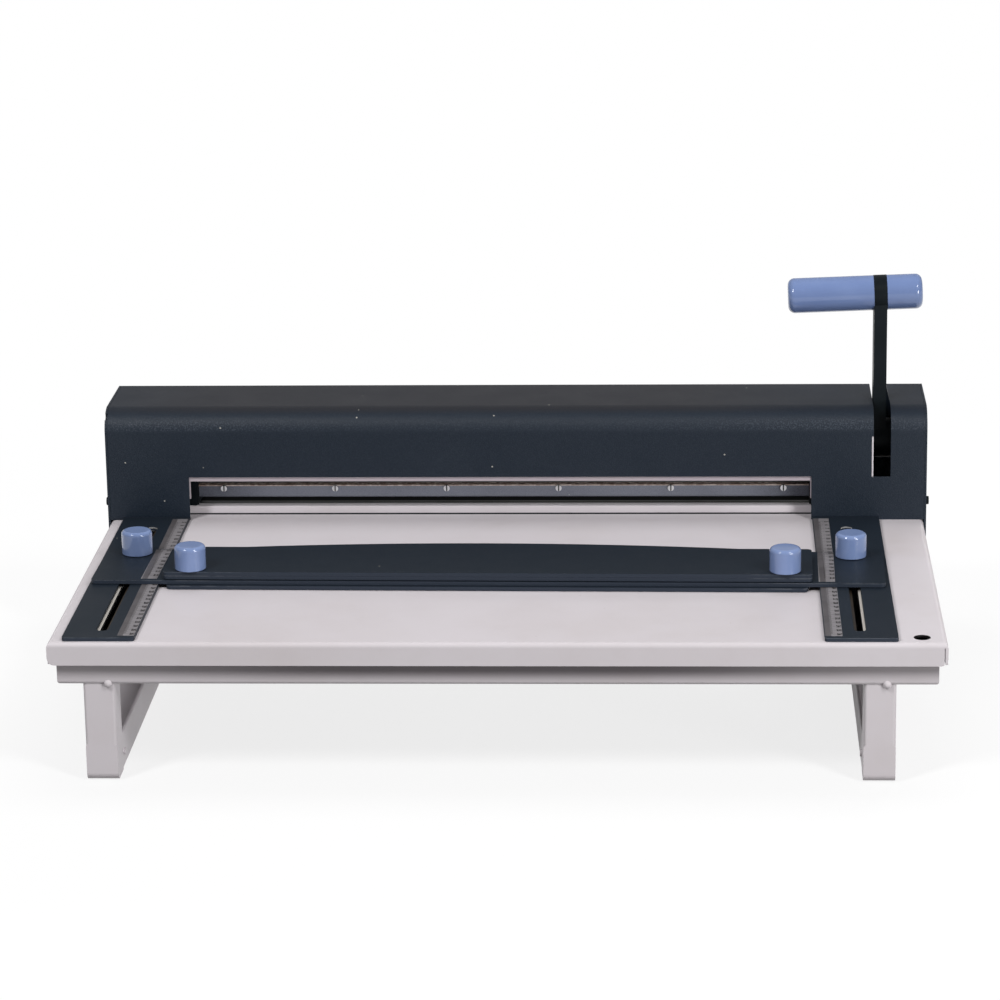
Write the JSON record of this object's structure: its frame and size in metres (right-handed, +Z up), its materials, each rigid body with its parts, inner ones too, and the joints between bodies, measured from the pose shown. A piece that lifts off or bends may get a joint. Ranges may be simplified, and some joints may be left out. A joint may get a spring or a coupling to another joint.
{
  "type": "paper creasing machine",
  "caption": "Desktop paper creasing machine: folded pale steel table on tube legs, dark covered press with a blue hand lever, and a sliding stop gauge with rulers and clamp knobs.",
  "frame": {"origin": "bottom centre of the overall box, on the floor", "axes": "+X right along the press, +Y to the back, the way the sheet is fed, +Z up"},
  "size_m": [0.7102, 0.432, 0.3212],
  "materials": {
    "pale_paint": "satin powder coat, warm light grey",
    "dark_paint": "fine-textured powder coat, dark blue grey",
    "plate_paint": "satin powder coat, dark blue grey",
    "black_finish": "smooth black enamel",
    "bare_steel": "ground steel, oiled",
    "ruler_steel": "satin rolled steel",
    "bronze": "machined bearing bronze",
    "blue_plastic": "glossy moulded plastic, periwinkle blue"
  },
  "bodies": {
    "base": {"table_top": "pale_paint", "base_frame": "pale_paint", "cross_member": "pale_paint", "left_leg": "pale_paint", "right_leg": "pale_paint", "leg_screws": "pale_paint", "leg_rivets": "pale_paint", "cover": "dark_paint", "left_side_plate": "dark_paint", "right_side_plate": "dark_paint", "rear_cover": "dark_paint", "cover_brackets": "pale_paint", "cover_screws": "black_finish", "rear_deck": "pale_paint", "left_end_plate": "bare_steel", "right_end_plate": "bare_steel", "frame_screws": "bare_steel", "guard_plate": "pale_paint", "bed_bar": "pale_paint", "crease_matrix": "bronze", "left_guide_block": "black_finish", "right_guide_block": "black_finish", "block_screws": "bare_steel", "left_return_spring": "bare_steel", "right_return_spring": "bare_steel", "shaft_bushings": "bronze", "left_guide_plate": "plate_paint", "right_guide_plate": "plate_paint", "left_ruler": "ruler_steel", "right_ruler": "ruler_steel"},
    "lever": {"main_shaft": "bare_steel", "left_cam": "bare_steel", "right_cam": "bare_steel", "drive_pins": "bare_steel", "shaft_collar": "bare_steel", "lever_arm": "black_finish", "handle_rod": "bare_steel", "long_grip_sleeve": "blue_plastic", "short_grip_sleeve": "blue_plastic"},
    "beam": {"press_beam": "bare_steel", "crease_blade": "bare_steel", "blade_clamp": "bare_steel", "blade_screws": "bare_steel", "wear_pads": "bare_steel"},
    "gauge": {"cross_bar": "plate_paint", "nut_plate": "plate_paint", "bar_rivets": "plate_paint", "slide_bushes": "bare_steel", "clamp_nuts": "bare_steel", "bar_rulers": "ruler_steel"},
    "stop": {"stop_plate": "plate_paint", "hold_down_plate": "plate_paint"},
    "left_slide_knob_body": {"left_slide_knob": "blue_plastic", "left_slide_stud": "bare_steel"},
    "right_slide_knob_body": {"right_slide_knob": "blue_plastic", "right_slide_stud": "bare_steel"},
    "left_stop_knob_body": {"left_stop_knob": "blue_plastic", "left_stop_stud": "bare_steel"},
    "right_stop_knob_body": {"right_stop_knob": "blue_plastic", "right_stop_stud": "bare_steel"}
  },
  "joints": [
    {"name": "lever_swing", "type": "hinge", "parent": "base", "child": "lever", "pos_m": [0, 0.17, 0.1772], "axis": [1, 0, 0], "range_deg": [0, 85]},
    {"name": "beam_press", "type": "slide", "parent": "base", "child": "beam", "axis": [0, 0, -1], "range_m": [0, 0.0061], "stiffness_N_per_m": 3000, "springref_m": -0.012, "deforming": ["left_return_spring", "right_return_spring"]},
    {"name": "gauge_slide", "type": "slide", "parent": "base", "child": "gauge", "axis": [0, 1, 0], "range_m": [-0.18, 0.078]},
    {"name": "stop_adjust", "type": "slide", "parent": "gauge", "child": "stop", "axis": [0.0157, 0.9999, 0], "range_m": [-0.005, 0.005]},
    {"name": "left_slide_turn", "type": "hinge", "parent": "gauge", "child": "left_slide_knob_body", "pos_m": [-0.30946, 0.00425, 0.1232], "axis": [0, 0, 1], "range_deg": [0, 540]},
    {"name": "right_slide_turn", "type": "hinge", "parent": "gauge", "child": "right_slide_knob_body", "pos_m": [0.28306, -0.00505, 0.1232], "axis": [0, 0, 1], "range_deg": [0, 540]},
    {"name": "left_stop_turn", "type": "hinge", "parent": "gauge", "child": "left_stop_knob_body", "pos_m": [-0.25619, -0.06129, 0.1232], "axis": [0, 0, 1], "range_deg": [0, 540]},
    {"name": "right_stop_turn", "type": "hinge", "parent": "gauge", "child": "right_stop_knob_body", "pos_m": [0.22775, -0.06889, 0.1232], "axis": [0, 0, 1], "range_deg": [0, 540]}
  ],
  "couplings": [
    {"joint": "beam_press", "follows": "lever_swing", "m_per_rad": 0.0041118}
  ]
}
